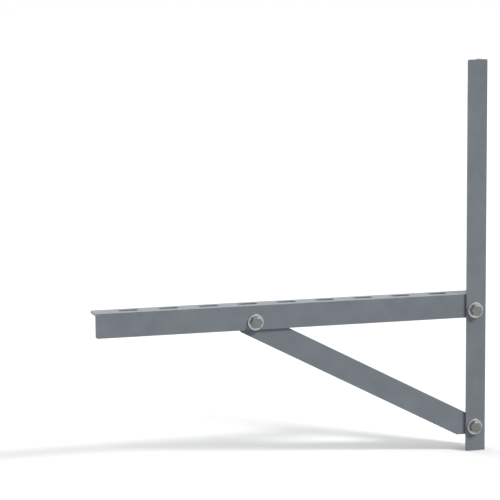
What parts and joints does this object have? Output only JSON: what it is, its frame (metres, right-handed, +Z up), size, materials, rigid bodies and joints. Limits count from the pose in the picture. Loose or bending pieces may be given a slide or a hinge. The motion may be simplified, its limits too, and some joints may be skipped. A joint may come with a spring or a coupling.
{
  "type": "air conditioner outdoor unit bracket",
  "caption": "Triangular wall bracket of bolted steel angle: an upright post with anchor holes, a slotted horizontal arm and a diagonal brace below it.",
  "frame": {"origin": "On the wall face of the post, on the line of its anchor holes, level with the face of the arm that the unit stands on.", "axes": "+Y points into the wall, so the arm reaches out along -Y. +Z is up. The outer faces of the webs look along +X, and the legs turn to -X."},
  "size_m": [0.0438, 0.502, 0.495],
  "materials": {
    "painted_steel": "satin grey paint with a faint mottle",
    "zinc_plated_steel": "bright zinc plating"
  },
  "bodies": {
    "root": {"wall_post": "painted_steel", "support_arm": "painted_steel", "diagonal_brace": "painted_steel", "arm_to_post_bolt": "zinc_plated_steel", "arm_to_post_washer": "zinc_plated_steel", "arm_to_post_spring_washer": "zinc_plated_steel", "arm_to_post_nut": "zinc_plated_steel", "arm_to_brace_bolt": "zinc_plated_steel", "arm_to_brace_washer": "zinc_plated_steel", "arm_to_brace_spring_washer": "zinc_plated_steel", "arm_to_brace_nut": "zinc_plated_steel", "brace_to_post_bolt": "zinc_plated_steel", "brace_to_post_washer": "zinc_plated_steel", "brace_to_post_spring_washer": "zinc_plated_steel", "brace_to_post_nut": "zinc_plated_steel"}
  },
  "joints": []
}
